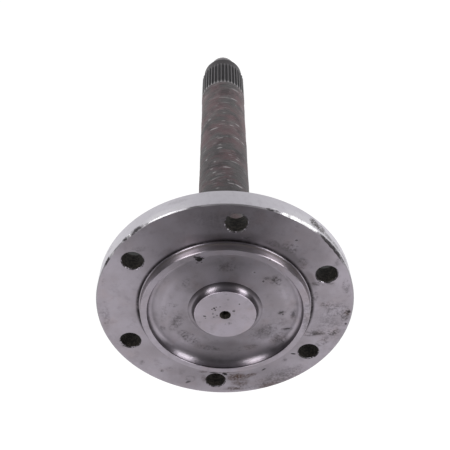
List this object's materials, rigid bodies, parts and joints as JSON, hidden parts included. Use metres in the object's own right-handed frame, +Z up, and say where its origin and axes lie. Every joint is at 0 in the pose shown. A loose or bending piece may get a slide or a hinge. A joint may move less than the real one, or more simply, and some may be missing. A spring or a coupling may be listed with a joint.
{
  "type": "tractor rear axle",
  "caption": "Flanged half shaft: round wheel flange with bolt holes, pilot ring and centre boss, on a long forged bar that ends in an external spline and a turned nose.",
  "frame": {"origin": "centre of the lying shaft's box at floor level", "axes": "+Y along the shaft from the wheel flange to the spline, +Z up; the shaft's own axis slopes 11.1 degrees down towards the spline, as it lies"},
  "size_m": [0.2098, 0.471, 0.209],
  "materials": {
    "forged_steel": "machined flange and spline, dark forging scale on the bar"
  },
  "bodies": {
    "root": {"axle_shaft": "forged_steel"}
  },
  "joints": []
}
